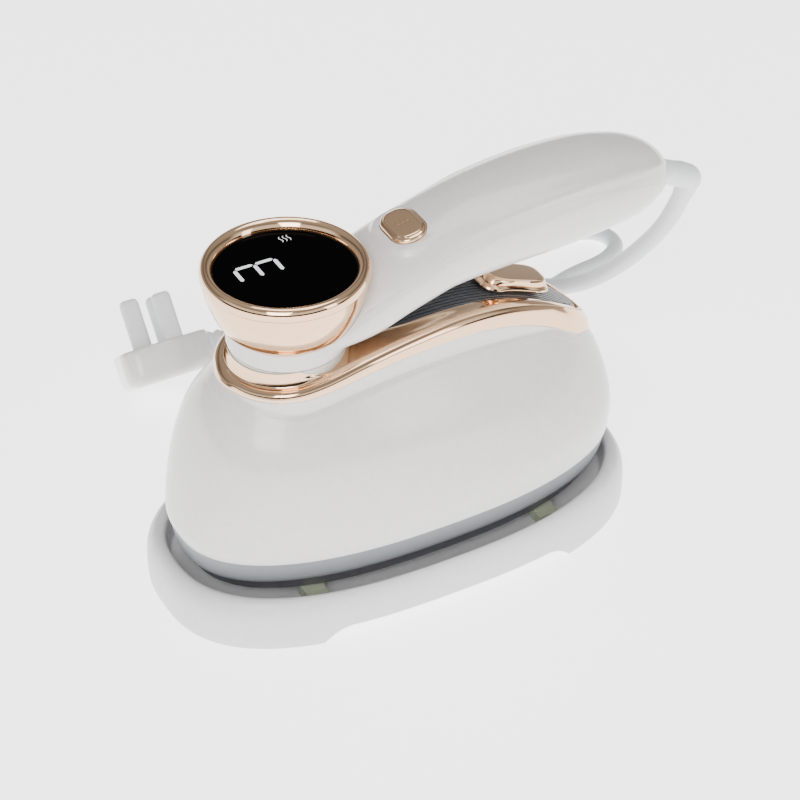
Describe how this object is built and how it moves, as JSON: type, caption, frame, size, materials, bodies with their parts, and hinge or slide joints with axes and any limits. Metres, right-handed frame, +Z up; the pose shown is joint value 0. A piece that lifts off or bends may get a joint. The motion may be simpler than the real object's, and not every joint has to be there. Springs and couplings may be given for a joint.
{
  "type": "waxing iron",
  "caption": "Compact electric iron with a swivelling handle, round display head and steam button, resting in a moulded tray, with its mains lead and plug.",
  "frame": {"origin": "on the floor under the middle of the iron and its tray", "axes": "+Z up; +X from the display end to the cord end of the handle; +Y towards the coiled lead"},
  "size_m": [0.2685, 0.2071, 0.1452],
  "materials": {
    "white_plastic": "gloss",
    "tray_plastic": "satin",
    "gilt": "mirror",
    "dark_plastic": "matte",
    "grey_plastic": "matte",
    "black_glass": "gloss",
    "clear_plastic": "gloss",
    "rubber_grey": "matte",
    "silicone": "matte",
    "cast_alloy": "rough",
    "sole_metal": "satin",
    "steel": "brushed",
    "brass": "satin",
    "bearing_plastic": "matte",
    "circuit_board": "matte",
    "white_cord": "satin"
  },
  "bodies": {
    "stand": {"stand_tray": "tray_plastic", "stand_feet": "rubber_grey", "stand_pads": "silicone"},
    "iron": {"soleplate": "sole_metal", "heater_block": "cast_alloy", "heating_element": "steel", "chamber_gasket": "silicone", "chamber_cover": "cast_alloy", "chamber_screws": "steel", "thermostat": "brass", "thermal_fuse": "steel", "heat_skirt": "grey_plastic", "body_shell": "white_plastic", "gilt_trim": "gilt", "deck_panel": "dark_plastic", "water_tank": "clear_plastic", "filler_seal": "silicone", "water_pump": "dark_plastic", "pump_hose": "silicone", "tank_hose": "silicone", "pivot_post": "steel", "pivot_bush": "bearing_plastic", "wave_washer": "steel", "retaining_ring": "steel", "pivot_screws": "steel"},
    "handle": {"handle_lower_shell": "white_plastic", "handle_upper_shell": "white_plastic", "handle_screws": "steel", "display_bowl": "gilt", "display_bezel": "gilt", "display_window": "black_glass", "display_board": "circuit_board", "digit_light_guide": "dark_plastic", "button_spring": "steel", "button_switch": "dark_plastic", "button_board": "circuit_board", "control_board": "circuit_board", "terminal_block": "bearing_plastic", "cord_clamp": "bearing_plastic", "wire_loom": "rubber_grey", "cord_boot": "white_cord", "cord_lead": "white_cord", "cord_coil": "white_cord", "cord_tie": "grey_plastic", "cord_tail": "white_cord", "plug_relief": "white_cord", "plug_body": "white_plastic", "plug_pins": "white_cord"},
    "button": {"steam_button": "gilt"},
    "filler": {"filler_plug": "gilt"}
  },
  "joints": [
    {"name": "iron_lift", "type": "slide", "parent": "stand", "child": "iron", "axis": [0, 0, 1], "range_m": [0, 0.06]},
    {"name": "handle_swivel", "type": "hinge", "parent": "iron", "child": "handle", "pos_m": [-0.05, 0, 0.105], "axis": [0, 0, 1], "range_deg": [0, 180]},
    {"name": "button_press", "type": "slide", "parent": "handle", "child": "button", "axis": [0.1908, 0, -0.9816], "range_m": [0, 0.0016], "stiffness_N_per_m": 900, "springref_m": -0.0008, "deforming": ["button_spring"]},
    {"name": "filler_lift", "type": "slide", "parent": "iron", "child": "filler", "axis": [0.342, 0, 0.9397], "range_m": [0, 0.008]}
  ]
}
